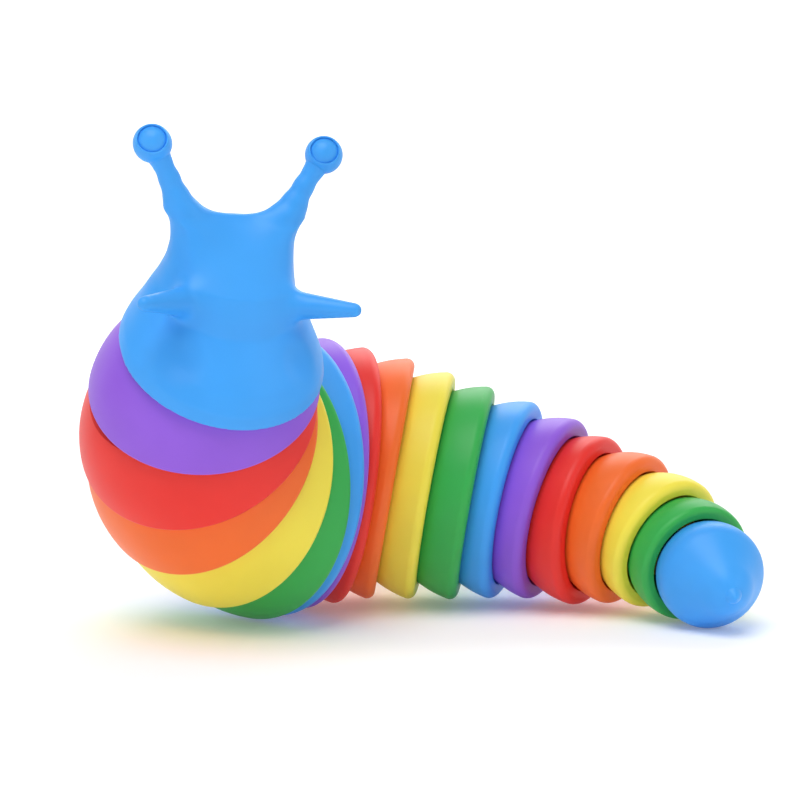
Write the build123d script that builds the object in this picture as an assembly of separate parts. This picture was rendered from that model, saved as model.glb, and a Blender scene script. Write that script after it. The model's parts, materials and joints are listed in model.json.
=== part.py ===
from build123d import *
import math
import os

# Articulated slug, all lengths in millimetres and all angles in degrees.
# One head, seventeen nested ring shells and a tail cap, joined by eighteen cross links.

# overall sizes
N = 19                      # pieces from head to tail
R_MAX = 20.0                # largest rim radius, at ring PEAK
R_HEAD = 13.2               # rim radius of the head
R_TAIL = 8.2                # rim radius of the last ring
PEAK = 7
PITCH = 6.0                 # spacing of the rims along the body
GAP = 0.30                  # running gap between nested shells
WALL = 1.3                  # shell wall on the big rings
LIP = 1.2                   # width of the thicker band at each rim
SKIRT = 17.0                # how far a shell reaches under the lip ahead, beyond centre

# cross links and the spine that carries them
PIN_R = 0.45                # pin radius
HOLE_R = 0.50               # bore radius, 0.05 running clearance
LUG_IN, LUG_OUT = 1.4, 2.3  # lugs lie between these distances from the axis
LUG_R = 0.95
BALL_R = 1.1
WEB = 1.0                   # thickness of the spine's cross web
HALF = 0.95                 # half thickness of the flat spine
SLOPE = 0.70                # how fast the fork arms spread
ARM = 1.15                  # radial thickness of the fork arms

NECK = range(2, 7)          # rings whose shell hangs from one arm

SLANT = 6.0                 # slant of the front edge of those shells

# head
HEAD_L = 12.5
SNOUT_W, SNOUT_H, SNOUT_UP = 15.0, 13.5, 1.2
EYE_R = 2.35

# rest pose: compass heading and slope of each piece's axis, pointing tailward
HEADING = [-25, -4, 16, 31, 37, 44, 53, 66, 79, 91, 95, 96, 106, 114, 120, 126, 142, 156, 168]
RISE = [-46, -45, -35, -24, -10, -1, -5, -7, -8, -10, -10, -10, -11, -13, -8, -14, -19, -15, -10]
HEAD_ROLL = 3.0


def rim(i):
    """Rim radius of piece i (1 is the head)."""
    if i <= PEAK:
        return R_MAX - (R_MAX - R_HEAD) * ((PEAK - i) / (PEAK - 1)) ** 1.4
    return R_MAX - (R_MAX - R_TAIL) * ((i - PEAK) / (N - 1 - PEAK)) ** 1.3


def back(i):
    """Distance from the rim of piece i back to the joint behind it."""
    if i <= 4:
        return 9.8 - 0.6 * ((4 - i) / 3) ** 1.5
    if i <= PEAK:
        return 9.8 - 0.1 * (i - 4)
    return 9.5 - 0.56 * (i - PEAK)


def offset(i):
    """Rim plane of piece i, measured from the joint ahead of it."""
    return PITCH - back(i - 1)


def ball(i):
    """Radius of the outer sphere of piece i about the joint ahead of it."""
    return math.hypot(rim(i), offset(i))


def lip_r(i):
    """Inner radius of the rim of piece i."""
    return math.sqrt((ball(i + 1) + GAP) ** 2 - back(i) ** 2)


def wall(i):
    return max(0.85, WALL * min(1.0, ball(i) / 16.0))


def rear(i):
    """Joint behind piece i, measured from the joint ahead of it (the head from its rim)."""
    return back(i) + (offset(i) if i > 1 else 0.0)


def skirt_angle(i):
    """Polar angle of the front edge of piece i about the joint ahead of it."""
    lip = math.degrees(math.atan2(lip_r(i - 1), -back(i - 1)))
    return lip + SKIRT


def arc_point(cx, r, x):
    return (x, math.sqrt(max(r * r - (x - cx) ** 2, 0.01)))


def arc(cx, r, x0, x1):
    return ThreePointArc(arc_point(cx, r, x0), arc_point(cx, r, (x0 + x1) / 2), arc_point(cx, r, x1))


def shell(i):
    """Nested ring shell of piece i, axis along X, the joint ahead at the origin."""
    s, w, e = ball(i), wall(i), offset(i)
    xf = s * math.cos(math.radians(skirt_angle(i)))
    cx, cr = rear(i), ball(i + 1) + GAP
    xl = e - LIP
    c, d = arc_point(cx, cr, e), arc_point(cx, cr, xl)
    inner = arc_point(0, s - w, xl)
    edges = [arc(0, s, xf, e), Line(arc_point(0, s, e), c), arc(cx, cr, e, xl)]
    if inner[1] > d[1] + 0.02:
        edges.append(Line(d, inner))
        start = inner
    else:
        start = d
    f = arc_point(0, s - w, xf)
    mid = arc_point(0, s - w, (xl + xf) / 2)
    edges += [ThreePointArc(start, mid, f), Line(f, arc_point(0, s, xf))]
    face = make_face(Wire(edges).edges())
    thick = rim(i) - lip_r(i)
    corner = face.vertices().sort_by_distance(Vector(e, rim(i), 0))[0]
    face = fillet(corner, min(0.62 * thick, 1.15))
    return revolve(face, Axis.X)


def bore(x):
    return Pos(x, 0, 0) * Rot(90, 0, 0) * Cylinder(HOLE_R, 3 * LUG_OUT)


def half_plate(points):
    """Flat outline in X and Y, given the spine's thickness."""
    return extrude(make_face(Polyline(*points, close=True).edges()), HALF, both=True)


def side_plate(points):
    """The same outline on both sides of the axis."""
    return half_plate(points) + mirror(half_plate(points), Plane.XZ)


def lug(x):
    hub = Pos(x, (LUG_IN + LUG_OUT) / 2, 0) * Rot(90, 0, 0) * Cylinder(LUG_R, LUG_OUT - LUG_IN)
    return hub + mirror(hub, Plane.XZ)


def fork(i, web_to):
    """Arms that run from the front edge of shell i to its front joint and on to the web.

    On the neck, where the rings bend hardest, only the arm on the outside of the bend
    reaches the shell; the other ends at its lug."""
    s = ball(i)
    xf = s * math.cos(math.radians(skirt_angle(i)))
    root = arc_point(0, s - 0.4 * wall(i), xf)[1]
    inner = min(LUG_IN + SLOPE * (-xf - LUG_R), root - 0.9)
    slope = (inner - LUG_IN) / (-xf - LUG_R)
    foot = xf + 1.0
    outer = min(inner + ARM - slope * 1.0, root - 0.2)
    pts = [(web_to, 0), (web_to - WEB, 0), (web_to - WEB, LUG_IN), (-LUG_R, LUG_IN),
           (xf + 0.05, inner), (xf + 0.05, root), (foot, root), (foot, outer),
           (-0.3, LUG_OUT), (web_to, LUG_OUT)]
    short = [(web_to, 0), (web_to - WEB, 0), (web_to - WEB, LUG_IN), (0, LUG_IN), (0, LUG_OUT),
             (web_to, LUG_OUT)]
    if i not in NECK:
        return side_plate(pts)
    return half_plate(pts if i % 2 == 0 else short) + mirror(half_plate(short if i % 2 == 0 else pts), Plane.XZ)


def tongue(x_web, x_joint):
    """Two arms that reach back from the web to the lugs at the rear joint."""
    pts = [(x_web, 0), (x_web - WEB, 0), (x_web - WEB, LUG_OUT), (x_joint, LUG_OUT),
           (x_joint, LUG_IN), (x_web, LUG_IN)]
    return side_plate(pts) + lug(x_joint)


def ring(i):
    x_web = rear(i) / 2 + WEB / 2
    spine = fork(i, x_web) + lug(0) + tongue(x_web, rear(i)) - bore(0) - bore(rear(i))
    body = shell(i) + spine
    if i in NECK:
        # the skirt is shorter on the inside of the bend, opposite the arm
        side = 1 if i % 2 == 0 else -1
        a = math.radians(skirt_angle(i))
        at = Pos(ball(i) * math.cos(a), side * ball(i) * math.sin(a), 0) * Rot(0, 0, side * SLANT)
        body = body - at * Pos(-15, 0, 0) * Box(30, 90, 90)
    return body


def tail():
    """Tail cap: skirt and blunt cone with a small nipple, and a fork at its front."""
    i, s, w = N, ball(N), 0.85
    e = PITCH - back(i - 1)
    lip = math.degrees(math.atan2(lip_r(i - 1), -back(i - 1)))
    xf = s * math.cos(math.radians(lip + SKIRT))
    edges = [arc(0, s, xf, e), Spline([arc_point(0, s, e), (6.4, 4.6), (8.3, 1.5)]),
             Spline([(8.3, 1.5), (8.9, 0.95), (9.5, 0)]), Line((9.5, 0), (7.3, 0)),
             Spline([(7.3, 0), (5.4, 4.2), arc_point(0, s - w, e)]),
             arc(0, s - w, e, xf), Line(arc_point(0, s - w, xf), arc_point(0, s, xf))]
    cap = revolve(make_face(Wire(edges).edges()), Axis.X)
    root = arc_point(0, s - 0.4 * w, xf)[1]
    inner = min(LUG_IN + SLOPE * (-xf - LUG_R), root - 0.9)
    pts = [(3.2, 0), (2.2, 0), (2.2, LUG_IN), (-LUG_R, LUG_IN), (xf + 0.05, inner),
           (xf + 0.05, root), (xf + 1.0, root), (xf + 1.0, root - 0.5), (-0.3, LUG_OUT), (3.2, LUG_OUT)]
    return cap + (side_plate(pts) + lug(0) - bore(0))


def horn(base, tip, radii):
    """Round horn from base to tip, its radius running smoothly through the given values."""
    a, b = Vector(*base), Vector(*tip)
    axis, n = b - a, len(radii) - 1
    side = Spline([(r, axis.length * k / n) for k, r in enumerate(radii)])
    end = (0, axis.length)
    face = make_face([side, Line(side @ 1, end), Line(end, (0, 0)), Line((0, 0), side @ 0)])
    solid = revolve(Plane.XZ * face, Axis.Z)
    return Plane(origin=a, z_dir=axis.normalized()).location * solid


def eye(center, facing):
    """Ball at the end of an upper horn with a groove round an inset eye."""
    ball_ = Pos(*center) * Sphere(EYE_R)
    at = Plane(origin=Vector(*center), z_dir=Vector(*facing)).location
    groove = at * Pos(0, 0, EYE_R - 0.35) * (
        Cylinder(1.62, 1.2) - Cylinder(1.32, 1.4))
    return ball_ - groove


def head():
    """Head shell with four horns; origin at its rim, X tailward, Z the head's own up."""
    r1, rin = rim(1), lip_r(1)
    planes = [(0.0, r1, 0.0), (-3.5, r1 - 0.35, 0.1), (-7.0, 11.2, 0.4)]
    parts = [Plane(origin=(x, 0, up), z_dir=(-1, 0, 0), x_dir=(0, -1, 0)) * Circle(r) for x, r, up in planes]
    parts.append(Plane(origin=(-HEAD_L, 0, SNOUT_UP), z_dir=(-1, 0, 0), x_dir=(0, -1, 0))
                 * RectangleRounded(SNOUT_W, SNOUT_H, 3.6))
    body = loft(parts)
    front = body.faces().sort_by(Axis.X)[0]
    body = fillet(front.edges(), 1.6)
    cavity = Pos(back(1), 0, 0) * Sphere(ball(2) + GAP)
    room = Pos(-2.0, 0, 0) * Rot(0, 90, 0) * Cylinder(rin - 1.2, 5.0)
    deep = Pos(-7.0, 0, 0.8) * Rot(0, 90, 0) * Cone(5.2, rin - 2.2, 6.5)
    body = body - cavity - room - deep
    for sy in (-1, 1):
        ball_c = (-20.0, sy * 11.3, 13.0)
        body += horn((-7.0, sy * 5.2, 4.2), ball_c, (3.9, 2.5, 1.75, 1.45, 1.3))
        body += eye(ball_c, (-0.55, sy * 0.12, -0.62))
        body += horn((-6.0, sy * 6.6, -0.8), (-9.6, sy * 13.6, -3.4), (2.6, 1.6, 1.15))
        body += Pos(-9.6, sy * 13.6, -3.4) * Sphere(1.15)
    x_web = back(1) - 2.3
    post = Pos((x_web - 9.8) / 2, 0, 0) * Box(x_web + 9.8, 2 * LUG_OUT, 2 * HALF)
    root = Pos(-7.4, 0, 0) * Rot(0, 90, 0) * Cylinder(3.4, 6.0)
    body += Rot(90, 0, 0) * (post + tongue(x_web, back(1)) - bore(back(1)))
    return body + root


def link():
    """Cross link: a ball with two pairs of pins, along Y and along Z."""
    pin = Cylinder(PIN_R, 2 * LUG_OUT - 0.1)
    return Sphere(BALL_R) + pin + Rot(90, 0, 0) * pin


def direction(i):
    a, b = math.radians(HEADING[i - 1]), math.radians(RISE[i - 1])
    return Vector(math.sin(a) * math.cos(b), math.cos(a) * math.cos(b), math.sin(b))


def frames():
    """Axes and joint centres of every piece: (origin, X, Y, Z), then joints (point, A, B)."""
    t = direction(1)
    flat = Vector(0, 0, 1).cross(t).normalized().rotate(Axis((0, 0, 0), t), HEAD_ROLL)
    y, z = flat, t.cross(flat).normalized()
    out, joints = [(Vector(0, 0, 0), t, y, z)], []
    joint = t * back(1)
    for i in range(1, N):
        t2 = direction(i + 1)
        if i % 2:
            a, y2 = z, z.cross(t2).normalized()
            z2 = t2.cross(y2).normalized()
            b = y2
        else:
            a, z2 = y, t2.cross(y).normalized()
            y2 = z2.cross(t2).normalized()
            b = z2
        joints.append((joint, a, b))
        out.append((joint, t2, y2, z2))
        t, y, z = t2, y2, z2
        if i + 1 < N:
            joint = joint + t * rear(i + 1)
    return out, joints


def names():
    return ["head"] + ["ring_%02d" % i for i in range(2, N)] + ["tail"]


def build():
    """Every node in place, keyed by name, and the joints as (parent, link, child, point, A, B)."""
    pieces, joints = frames()
    solids, table = {}, []
    for k, (o, x, y, z) in enumerate(pieces):
        i = k + 1
        body = head() if i == 1 else tail() if i == N else ring(i)
        if i > 1 and i % 2:
            body = Rot(90, 0, 0) * body     # odd pieces carry their spine upright
        solids[names()[k]] = Plane(origin=o, x_dir=x, z_dir=z).location * body
    for k, (p, a, b) in enumerate(joints):
        name = "link_%02d" % (k + 1)
        solids[name] = Plane(origin=p, x_dir=a.cross(b), z_dir=b).location * link()
        table.append((names()[k], name, names()[k + 1], p, a, b))
    boxes = [s.bounding_box() for s in solids.values()]
    lo = Vector(min(b.min.X for b in boxes), min(b.min.Y for b in boxes), min(b.min.Z for b in boxes))
    hi = Vector(max(b.max.X for b in boxes), max(b.max.Y for b in boxes), 0)
    shift = Vector(-(lo.X + hi.X) / 2, -(lo.Y + hi.Y) / 2, -lo.Z)
    solids = {n: Pos(*shift) * s for n, s in solids.items()}
    table = [(p, l, c, at + shift, a, b) for p, l, c, at, a, b in table]
    return solids, table, shift


if __name__ == "__main__":
    os.makedirs("parts", exist_ok=True)
    for name, solid in build()[0].items():
        export_step(solid, "parts/%s.step" % name)
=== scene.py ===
import json
import math

import bmesh
import bpy
import numpy as np
from mathutils import Matrix, Vector


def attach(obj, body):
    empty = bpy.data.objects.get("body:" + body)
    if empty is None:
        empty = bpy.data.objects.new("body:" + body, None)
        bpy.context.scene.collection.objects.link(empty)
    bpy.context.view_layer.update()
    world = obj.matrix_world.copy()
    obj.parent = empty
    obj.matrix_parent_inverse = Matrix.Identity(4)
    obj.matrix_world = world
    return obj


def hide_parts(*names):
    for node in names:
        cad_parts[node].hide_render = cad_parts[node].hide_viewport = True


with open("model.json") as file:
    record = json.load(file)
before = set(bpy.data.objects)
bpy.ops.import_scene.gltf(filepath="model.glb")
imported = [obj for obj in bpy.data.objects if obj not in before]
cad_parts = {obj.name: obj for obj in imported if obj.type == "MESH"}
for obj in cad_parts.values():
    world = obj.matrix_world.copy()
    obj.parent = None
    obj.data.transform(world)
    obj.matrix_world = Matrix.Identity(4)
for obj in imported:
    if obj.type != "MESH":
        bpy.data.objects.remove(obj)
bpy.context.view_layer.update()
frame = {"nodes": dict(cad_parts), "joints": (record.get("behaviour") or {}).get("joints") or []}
NODES = frame["nodes"]
JOINTS = {j["name"]: j for j in frame["joints"]}

MM = 0.001
ORDER = ["head"] + ["ring_%02d" % i for i in range(2, 19)] + ["tail"]
COLOURS = ["blue", "purple", "red", "orange", "yellow", "green"]
LIT = {  # linear colour of each plastic
    "blue": (0.050, 0.370, 0.930),
    "purple": (0.290, 0.105, 0.720),
    "red": (0.850, 0.030, 0.022),
    "orange": (0.930, 0.160, 0.022),
    "yellow": (0.920, 0.780, 0.075),
    "green": (0.035, 0.430, 0.080),
    "link": (0.70, 0.69, 0.66),
}


def node(nt, kind, x, y, **values):
    """New shader node at a place in the editor; values are its properties or its inputs."""
    n = nt.nodes.new(kind)
    n.location = (x, y)
    for key, value in values.items():
        if hasattr(n, key):
            setattr(n, key, value)
        else:
            n.inputs[key].default_value = value
    return n


def noise(nt, coord, y, scale, detail):
    """Noise texture in object space."""
    n = node(nt, "ShaderNodeTexNoise", -650, y, noise_dimensions="3D")
    n.inputs["Scale"].default_value = scale
    n.inputs["Detail"].default_value = detail
    nt.links.new(coord.outputs["Object"], n.inputs["Vector"])
    return n


def plastic(name, colour, rough=0.42, scatter=0.10):
    """Smooth satin moulded plastic: faint colour drift, uneven gloss and a fine moulded orange peel."""
    m = bpy.data.materials.new("plastic_" + name)
    m.use_nodes = True
    nt = m.node_tree
    nt.nodes.clear()
    out = node(nt, "ShaderNodeOutputMaterial", 900, 0)
    bsdf = node(nt, "ShaderNodeBsdfPrincipled", 600, 0)
    nt.links.new(bsdf.outputs["BSDF"], out.inputs["Surface"])
    coord = node(nt, "ShaderNodeTexCoord", -900, 0)
    drift = noise(nt, coord, 150, 60.0, 3.0)
    ramp = node(nt, "ShaderNodeValToRGB", -420, 150)
    ramp.color_ramp.elements[0].position = 0.30
    ramp.color_ramp.elements[0].color = tuple(c * 0.93 for c in colour) + (1,)
    ramp.color_ramp.elements[1].position = 0.75
    ramp.color_ramp.elements[1].color = tuple(min(1, c * 1.04 + 0.004) for c in colour) + (1,)
    nt.links.new(drift.outputs["Fac"], ramp.inputs["Fac"])
    nt.links.new(ramp.outputs["Color"], bsdf.inputs["Base Color"])
    smudge = noise(nt, coord, -120, 140.0, 5.0)
    spread = node(nt, "ShaderNodeMapRange", -420, -120)
    spread.inputs["To Min"].default_value = rough - 0.05
    spread.inputs["To Max"].default_value = rough + 0.07
    nt.links.new(smudge.outputs["Fac"], spread.inputs["Value"])
    nt.links.new(spread.outputs["Result"], bsdf.inputs["Roughness"])
    peel = noise(nt, coord, -380, 900.0, 2.0)
    bump = node(nt, "ShaderNodeBump", 300, -300)
    bump.inputs["Strength"].default_value = 0.06
    bump.inputs["Distance"].default_value = 0.00006
    nt.links.new(peel.outputs["Fac"], bump.inputs["Height"])
    nt.links.new(bump.outputs["Normal"], bsdf.inputs["Normal"])
    bsdf.inputs["IOR"].default_value = 1.46
    bsdf.inputs["Specular IOR Level"].default_value = 0.35
    bsdf.inputs["Subsurface Weight"].default_value = scatter
    bsdf.inputs["Subsurface Radius"].default_value = (1.0, 0.8, 0.7)
    bsdf.inputs["Subsurface Scale"].default_value = 0.0012
    bsdf.inputs["Coat Weight"].default_value = 0.05
    bsdf.inputs["Coat Roughness"].default_value = 0.35
    return m


MATS = {k: plastic(k, v) for k, v in LIT.items()}


def shade_smooth(me):
    for p in me.polygons:
        p.use_smooth = True


def add_object(me, name):
    o = bpy.data.objects.new(name, me)
    bpy.context.scene.collection.objects.link(o)
    return o


def direction(heading, rise):
    """Unit vector, tailward, from a heading round +Z and a rise above the floor, both in degrees."""
    h, r = math.radians(heading), math.radians(rise)
    return Vector((math.sin(h) * math.cos(r), math.cos(h) * math.cos(r), math.sin(r)))


def dress(obj, mat):
    """Give an object one material."""
    obj.data.materials.clear()
    obj.data.materials.append(mat)


for k, name in enumerate(ORDER):
    dress(NODES[name], MATS[COLOURS[k % 6]])
for name, obj in NODES.items():
    if name.startswith("link_"):
        dress(obj, MATS["link"])

# ---------------------------------------------------------------- head
# The head is one smooth moulded form.  It is described by a distance field in its own frame
# (f forward from the rim, s to the viewer's left, u its own up, millimetres) and meshed with surface nets.
ROLL = math.radians(3.0)
BACK = 9.2                # rim to the joint behind it
BALL_R = 15.25            # hollow that clears the second ring's shell
EYE_F, EYE_S, EYE_U, EYE_R = 21.4, 10.9, 13.9, 2.35
HORN_BASE, HORN_BEND = (9.5, 4.6, 6.2), (14.8, 5.7, 8.8)
LOW_BASE, LOW_TIP = (8.4, 5.2, 0.6), (12.2, 13.1, -4.0)
DIMPLE, DIMPLE_R = (6.6, 8.6, -7.2), 2.6
FACE_F = 15.3             # rim to the front of the face
GRID = 0.28               # spacing of the field's samples
tail_dir = direction(-25.0, -46.0)
side_dir = Matrix.Rotation(ROLL, 3, tail_dir) @ Vector((0, 0, 1)).cross(tail_dir).normalized()
up_dir = tail_dir.cross(side_dir).normalized()
RIM = Vector(JOINTS["joint_01_yaw"]["pos_m"]) - tail_dir * BACK * MM

# sections of the head from rim to crown: forward, top, bottom, half width, squareness
SECTIONS = [
    (-0.6, 13.15, -13.15, 13.15, 2.0),
    (0.0, 13.2, -13.2, 13.2, 2.0),
    (1.8, 13.2, -12.6, 12.6, 2.0),
    (3.6, 13.0, -10.7, 11.5, 2.0),
    (5.5, 12.7, -7.6, 10.2, 2.1),
    (7.2, 12.4, -4.9, 8.8, 2.2),
    (9.3, 12.0, -3.6, 7.5, 2.4),
    (11.2, 11.4, -2.0, 6.8, 2.5),
    (13.5, 10.6, 3.5, 6.1, 2.6),
    (15.4, 9.9, 8.0, 5.5, 2.6),
]


def smooth_min(a, b, k):
    """Union of two distance fields with a blend about k wide."""
    h = np.clip(0.5 + 0.5 * (b - a) / k, 0, 1)
    return b * (1 - h) + a * h - k * h * (1 - h)


def smooth_max(a, b, k):
    """Intersection of two distance fields with a blend about k wide."""
    return -smooth_min(-a, -b, k)


def capsule(f, s, u, a, b, ra, rb):
    """Round rod from a to b whose radius runs from ra to rb."""
    ab = [b[i] - a[i] for i in range(3)]
    n = sum(v * v for v in ab)
    t = np.clip(((f - a[0]) * ab[0] + (s - a[1]) * ab[1] + (u - a[2]) * ab[2]) / n, 0, 1)
    d = np.sqrt((f - a[0] - t * ab[0]) ** 2 + (s - a[1] - t * ab[1]) ** 2 + (u - a[2] - t * ab[2]) ** 2)
    return d - (ra + (rb - ra) * t)


def sphere_at(f, s, u, c, r):
    """Distance to a sphere of radius r about c."""
    return np.sqrt((f - c[0]) ** 2 + (s - c[1]) ** 2 + (u - c[2]) ** 2) - r


def box_at(f, s, u, c, h):
    """Distance to a box about c with half sizes h."""
    q = [abs(v - c[i]) - h[i] for i, v in enumerate((f, s, u))]
    out = np.sqrt(sum(np.maximum(v, 0) ** 2 for v in q))
    return out + np.minimum(np.maximum(np.maximum(q[0], q[1]), q[2]), 0)


def upper_horn(f, s, u, side):
    """Stalk from the crown to the eye: short rods along a curve, blended into one another."""
    base, bend, end = HORN_BASE, HORN_BEND, (EYE_F, EYE_S, EYE_U)
    steps, horn = 8, None
    for k in range(steps):
        ends = []
        for t in (k / steps, (k + 1) / steps):
            p = [(1 - t) ** 2 * base[i] + 2 * t * (1 - t) * bend[i] + t ** 2 * end[i] for i in range(3)]
            ends.append((mirrored(p, side), 1.2 + 1.5 * (1 - t) ** 2.6))
        rod = capsule(f, s, u, ends[0][0], ends[1][0], ends[0][1], ends[1][1])
        horn = rod if horn is None else smooth_min(horn, rod, 0.5)
    return horn


def mirrored(point, side):
    return (point[0], side * point[1], point[2])


def head_field(f, s, u):
    """Distance field of the whole head: lofted body, horns, eye seats, hollow and hinge tongue."""
    keys = [r[0] for r in SECTIONS]
    top, bottom, half, power = (np.interp(f, keys, [r[i] for r in SECTIONS]) for i in range(1, 5))
    mid, height = (top + bottom) / 2, np.maximum((top - bottom) / 2, 0.4)
    q = (np.abs(s) / half) ** power + (np.abs(u - mid) / height) ** power
    rho = q ** (1 / power)
    g = (rho - 1) * np.minimum(half, height)
    h = f[1, 0, 0] - f[0, 0, 0]
    grad = np.gradient(g, h)
    g = g / np.maximum(np.sqrt(grad[0] ** 2 + grad[1] ** 2 + grad[2] ** 2), 0.6)
    body = smooth_max(g, f - FACE_F, 1.8)
    for side in (-1, 1):
        body = smooth_min(body, upper_horn(f, s, u, side), 3.4)
        low = capsule(f, s, u, mirrored(LOW_BASE, side), mirrored(LOW_TIP, side), 2.1, 0.9)
        body = smooth_min(body, low, 1.8)
        dimple = sphere_at(f, s, u, mirrored(DIMPLE, side), DIMPLE_R)
        body = smooth_max(body, -dimple, 2.2)
        seat = sphere_at(f, s, u, (EYE_F, side * EYE_S, EYE_U), EYE_R - 0.25)
        body = smooth_min(body, seat, 0.8)
    lip = smooth_max(body, -f, 0.5)
    hollow = sphere_at(f, s, u, (-BACK, 0, 0), BALL_R)
    inside = smooth_min(hollow, capsule(f, s, u, (1.5, 0, 1.6), (3.8, 0, 3.4), 7.6, 4.8), 1.0)
    shell = smooth_max(lip, -inside, 0.3)
    # tongue that carries the first pair of lugs
    arm = box_at(f, s, u, (0.2, 0, 0), (6.8, 0.95, 2.3))
    for sz in (-1, 1):
        arm = np.minimum(arm, box_at(f, s, u, (-7.9, 0, sz * 1.85), (2.2, 0.95, 0.45)))
    stem = np.maximum(np.sqrt(s ** 2 + u ** 2) - 3.0, np.maximum(-f + 4.4, f - 6.6))
    return np.minimum(np.minimum(shell, arm), stem)


def surface_nets(val, origin, h):
    """Vertices and quads of the zero surface of a field sampled on a grid of spacing h."""
    inside = val < 0
    nx, ny, nz = val.shape
    cell = np.zeros((nx - 1, ny - 1, nz - 1), np.int32) - 1
    total = np.zeros((nx - 1, ny - 1, nz - 1, 3))
    count = np.zeros((nx - 1, ny - 1, nz - 1))
    corners = [(a, b, c) for a in (0, 1) for b in (0, 1) for c in (0, 1)]
    for a in corners:
        for axis in range(3):
            if a[axis]:
                continue
            b = list(a)
            b[axis] = 1
            va = val[a[0]:nx - 1 + a[0], a[1]:ny - 1 + a[1], a[2]:nz - 1 + a[2]]
            vb = val[b[0]:nx - 1 + b[0], b[1]:ny - 1 + b[1], b[2]:nz - 1 + b[2]]
            cross = (va < 0) != (vb < 0)
            t = np.where(cross, va / np.where(cross, va - vb, 1), 0)
            for k in range(3):
                total[..., k] += np.where(cross, a[k] + (t if k == axis else 0), 0)
            count += cross
    hit = count > 0
    cell[hit] = np.arange(hit.sum())
    idx = np.argwhere(hit)
    verts = (idx + total[hit] / count[hit][:, None]) * h + np.array(origin)
    quads = []
    for axis in range(3):
        o1, o2 = (axis + 1) % 3, (axis + 2) % 3
        near = [slice(1, n - 1) for n in val.shape]
        near[axis] = slice(0, val.shape[axis] - 1)
        far = list(near)
        far[axis] = slice(1, val.shape[axis])
        a, b = inside[tuple(near)], inside[tuple(far)]
        pts = np.argwhere(a != b)
        flip = a[a != b]
        base = pts.copy()
        base[:, o1] += 1
        base[:, o2] += 1
        ring = []
        for d1, d2 in ((0, 0), (-1, 0), (-1, -1), (0, -1)):
            p = base.copy()
            p[:, o1] += d1
            p[:, o2] += d2
            ring.append(cell[p[:, 0], p[:, 1], p[:, 2]])
        ring = np.stack(ring, 1)
        ring[~flip] = ring[~flip][:, ::-1]
        quads.append(ring)
    return verts, np.concatenate(quads)


def make_head():
    """Mesh the head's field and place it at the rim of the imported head."""
    axes = [np.arange(a, b, GRID) for a, b in ((-11.2, 24.4), (-16.6, 16.6), (-14.6, 17.0))]
    f, s, u = np.meshgrid(*axes, indexing="ij")
    verts, quads = surface_nets(head_field(f, s, u), [a[0] for a in axes], GRID)
    world = [RIM + (-tail_dir * v[0] + side_dir * v[1] + up_dir * v[2]) * MM for v in verts]
    me = bpy.data.meshes.new("head_form")
    me.from_pydata(world, [], quads.tolist())
    me.validate()
    bm = bmesh.new()
    bm.from_mesh(me)
    bmesh.ops.recalc_face_normals(bm, faces=bm.faces)
    for _ in range(2):
        bmesh.ops.smooth_vert(bm, verts=bm.verts, factor=0.4,
                              use_axis_x=True, use_axis_y=True, use_axis_z=True)
    bm.to_mesh(me)
    bm.free()
    shade_smooth(me)
    o = add_object(me, "head_form")
    me.materials.append(MATS["blue"])
    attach(o, "head")
    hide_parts("head")


make_head()


def lathe(name, profile, steps=72):
    """Closed surface of revolution about Z from (radius, height) points, first and last on the axis."""
    bm = bmesh.new()
    rings = []
    for r, z in profile:
        if r == 0:
            rings.append([bm.verts.new((0, 0, z))])
            continue
        angles = [2 * math.pi * k / steps for k in range(steps)]
        rings.append([bm.verts.new((r * math.cos(a), r * math.sin(a), z)) for a in angles])
    for low, high in zip(rings, rings[1:]):
        for k in range(steps):
            n = (k + 1) % steps
            if len(low) == 1:
                bm.faces.new((low[0], high[n], high[k]))
            elif len(high) == 1:
                bm.faces.new((low[k], low[n], high[0]))
            else:
                bm.faces.new((low[k], low[n], high[n], high[k]))
    bmesh.ops.recalc_face_normals(bm, faces=bm.faces)
    me = bpy.data.meshes.new(name)
    bm.to_mesh(me)
    bm.free()
    shade_smooth(me)
    return me


EYE_FACING = Vector((0.10, -0.92, 0.32)).normalized()
GROOVE = math.radians(50)           # angle from the eye's axis to its groove
GROOVE_DEPTH, GROOVE_WIDTH = 0.55, 0.53
BUTTON_SINK, BUTTON_RISE = 0.18, 0.62


def make_eye(side, label):
    """Ball with an inset disc: a deep round groove with a domed button inside it."""
    r, z = EYE_R * math.sin(GROOVE), EYE_R * math.cos(GROOVE)
    profile = [(0, -EYE_R)]
    for k in range(1, 21):
        a = math.radians(180 - k * 6)
        profile.append((EYE_R * math.sin(a), EYE_R * math.cos(a)))
    profile += [(r + 0.10, z - 0.05), (r, z + 0.02), (r - 0.07, z - 0.06)]
    profile += [(r - 0.12, z - GROOVE_DEPTH), (r - 0.50, z - GROOVE_DEPTH)]
    button = r - GROOVE_WIDTH
    for k in range(9):
        a = math.radians(k * 10)
        profile.append((button * math.cos(a), z - BUTTON_SINK + BUTTON_RISE * math.sin(a)))
    profile.append((0, z - BUTTON_SINK + BUTTON_RISE))
    me = lathe("eye_" + label, profile)
    center = RIM + (-tail_dir * EYE_F + side_dir * side * EYE_S + up_dir * EYE_U) * MM
    turn = EYE_FACING.to_track_quat("Z", "Y").to_matrix().to_4x4()
    me.transform(Matrix.Translation(center) @ turn @ Matrix.Scale(MM, 4))
    o = add_object(me, "eye_" + label)
    me.materials.append(MATS["blue"])
    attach(o, "head")


make_eye(1, "left")
make_eye(-1, "right")


# ---------------------------------------------------------------- tail cap
CONE_START, CONE_LENGTH = 0.8, 5.2   # from the last joint's centre, along the cap
CONE_NARROWING = 0.25


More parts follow.
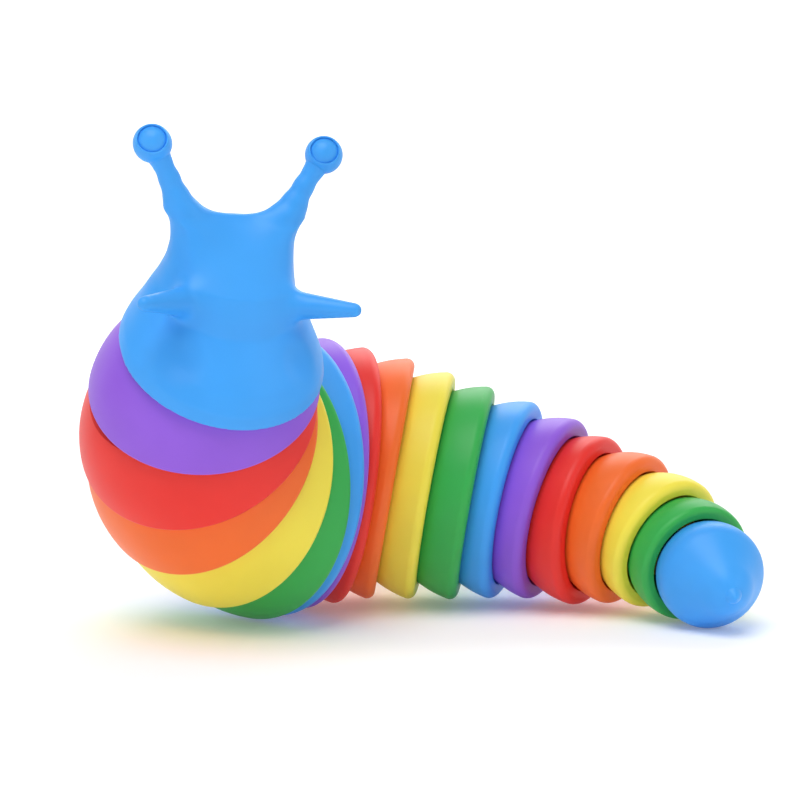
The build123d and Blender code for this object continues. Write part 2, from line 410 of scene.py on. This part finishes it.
def make_tail():
    """The cap narrowed towards its tip into a blunt cone with a small nipple."""
    axis = direction(168.0, -10.0)
    center = Vector(JOINTS["joint_18_yaw"]["pos_m"])
    me = NODES["tail"].data.copy()
    for v in me.vertices:
        arm = v.co - center
        along = arm.dot(axis)
        t = min(max((along / MM - CONE_START) / CONE_LENGTH, 0), 1)
        narrow = 1 - CONE_NARROWING * t * t * (3 - 2 * t)
        v.co = center + axis * along + (arm - axis * along) * narrow
    o = add_object(me, "tail_cap")
    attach(o, "tail")
    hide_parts("tail")


make_tail()


# ---------------------------------------------------------------- stage
def stage_floor():
    """Pale floor that runs up into a pale backdrop in one sweep and glows more towards the back."""
    bm = bmesh.new()
    profile = [(-4.0, 0.0), (0.9, 0.0), (1.15, 0.03), (1.35, 0.12), (1.48, 0.3), (1.52, 0.6), (1.52, 2.4)]
    rows = []
    for y, z in profile:
        rows.append([bm.verts.new((x, y, z)) for x in (-4.0, 4.0)])
    for a, b in zip(rows, rows[1:]):
        bm.faces.new((a[0], a[1], b[1], b[0]))
    me = bpy.data.meshes.new("floor")
    bm.to_mesh(me)
    bm.free()
    shade_smooth(me)
    o = add_object(me, "floor")
    m = bpy.data.materials.new("floor")
    m.use_nodes = True
    b = m.node_tree.nodes["Principled BSDF"]
    b.inputs["Base Color"].default_value = (0.93, 0.93, 0.93, 1)
    b.inputs["Roughness"].default_value = 0.9
    b.inputs["Specular IOR Level"].default_value = 0.1
    b.inputs["Emission Color"].default_value = (1, 1, 1, 1)
    nt = m.node_tree
    place = node(nt, "ShaderNodeTexCoord", -700, -200)
    axes = node(nt, "ShaderNodeSeparateXYZ", -500, -200)
    glow = node(nt, "ShaderNodeMapRange", -300, -200)
    glow.inputs["From Min"].default_value, glow.inputs["From Max"].default_value = 0.15, 1.05
    glow.inputs["To Min"].default_value, glow.inputs["To Max"].default_value = 0.14, 0.62
    nt.links.new(place.outputs["Object"], axes.inputs["Vector"])
    nt.links.new(axes.outputs["Y"], glow.inputs["Value"])
    nt.links.new(glow.outputs["Result"], b.inputs["Emission Strength"])
    me.materials.append(m)


stage_floor()


def area(name, loc, target, size, power):
    """White soft box at loc, turned towards target."""
    d = bpy.data.lights.new(name, "AREA")
    d.shape = "RECTANGLE"
    d.size, d.size_y = size
    d.energy = power
    o = bpy.data.objects.new(name, d)
    o.location = loc
    o.rotation_mode = "QUATERNION"
    o.rotation_quaternion = (Vector(target) - Vector(loc)).to_track_quat("-Z", "Y")
    bpy.context.scene.collection.objects.link(o)


area("key", (-0.10, -0.36, 0.78), (0, 0, 0.02), (0.6, 0.6), 4.6)
area("fill_left", (-0.70, -0.45, 0.30), (0, 0, 0.02), (0.6, 0.6), 0.9)
area("fill_right", (0.75, -0.35, 0.35), (0, 0, 0.02), (0.6, 0.6), 1.1)
area("rim", (0.15, 0.60, 0.55), (0, 0, 0.03), (0.6, 0.4), 1.5)

world = bpy.data.worlds.new("studio")
bpy.context.scene.world = world
world.use_nodes = True
world.node_tree.nodes["Background"].inputs["Color"].default_value = (1, 1, 1, 1)
world.node_tree.nodes["Background"].inputs["Strength"].default_value = 0.28

scene = bpy.context.scene
scene.view_settings.view_transform = "Standard"
scene.view_settings.look = "None"

# ---------------------------------------------------------------- camera
ELEVATION = math.radians(3.9)        # how far the camera looks down
EYE_FROM_RIM = Vector((0.0222, -0.2272, 0.0097))
cam_data = bpy.data.cameras.new("camera")
cam_data.lens = 82.0
cam_data.sensor_width = 36.0
cam_data.clip_start, cam_data.clip_end = 0.01, 20.0
cam = bpy.data.objects.new("camera", cam_data)
scene.collection.objects.link(cam)
look = Vector((0, math.cos(ELEVATION), -math.sin(ELEVATION)))
cam.location = RIM + EYE_FROM_RIM
cam.rotation_mode = "QUATERNION"
cam.rotation_quaternion = look.to_track_quat("-Z", "Y")
scene.camera = cam
